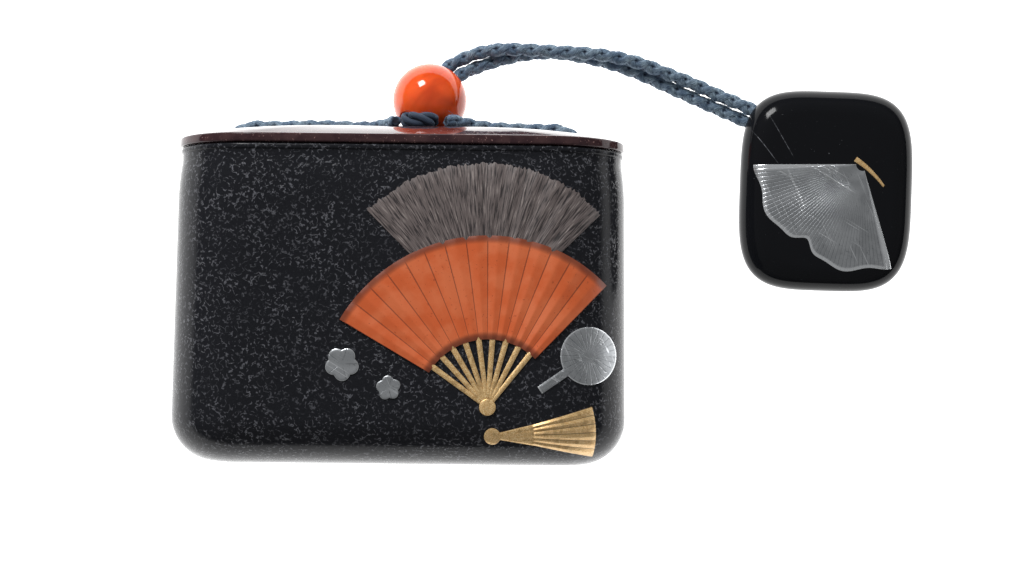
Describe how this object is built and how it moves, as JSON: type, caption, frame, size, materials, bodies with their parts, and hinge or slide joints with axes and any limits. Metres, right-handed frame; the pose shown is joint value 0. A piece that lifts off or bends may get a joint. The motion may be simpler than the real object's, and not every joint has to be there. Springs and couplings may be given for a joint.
{
  "type": "tobacco_container",
  "caption": "Black lacquered tobacco container, 91 mm wide, with a lift-off lid, a coral bead and a doubled blue cord ending in a flat toggle, gold, vermilion and pewter decoration",
  "frame": {"origin": "middle of the container's flat back, the face it lies on", "axes": "+X to the right along the container's width and on towards the toggle, +Y from the container's foot towards its lid, +Z out of the decorated front, away from the table"},
  "size_m": [0.1518, 0.0875, 0.0393],
  "materials": {
    "black_lacquer": "black lacquer over wood, finely textured field, satin",
    "brown_lacquer": "dark red-brown polished lacquer over wood",
    "polished_lacquer": "black polished lacquer, lightly scratched",
    "pewter": "dull grey inlaid metal",
    "coral_bead": "polished orange-red stone",
    "blue_cord": "round braid of blue-grey and navy silk",
    "vermilion_lacquer": "vermilion lacquer in raised work, satin",
    "gold_lacquer": "gold powder on lacquer, glittering, rubbed thin in places",
    "charcoal_lacquer": "grey-brown lacquer, combed into fine furrows"
  },
  "bodies": {
    "root": {"container_body": "black_lacquer", "lid": "brown_lacquer", "fan_inlay": "pewter", "blossom_inlay_1": "pewter", "blossom_inlay_2": "pewter", "toggle": "polished_lacquer", "toggle_inlay": "pewter", "bead": "coral_bead", "knot": "blue_cord", "cord_left": "blue_cord", "cord_right": "blue_cord", "cord_upper": "blue_cord", "cord_lower": "blue_cord"}
  },
  "joints": []
}
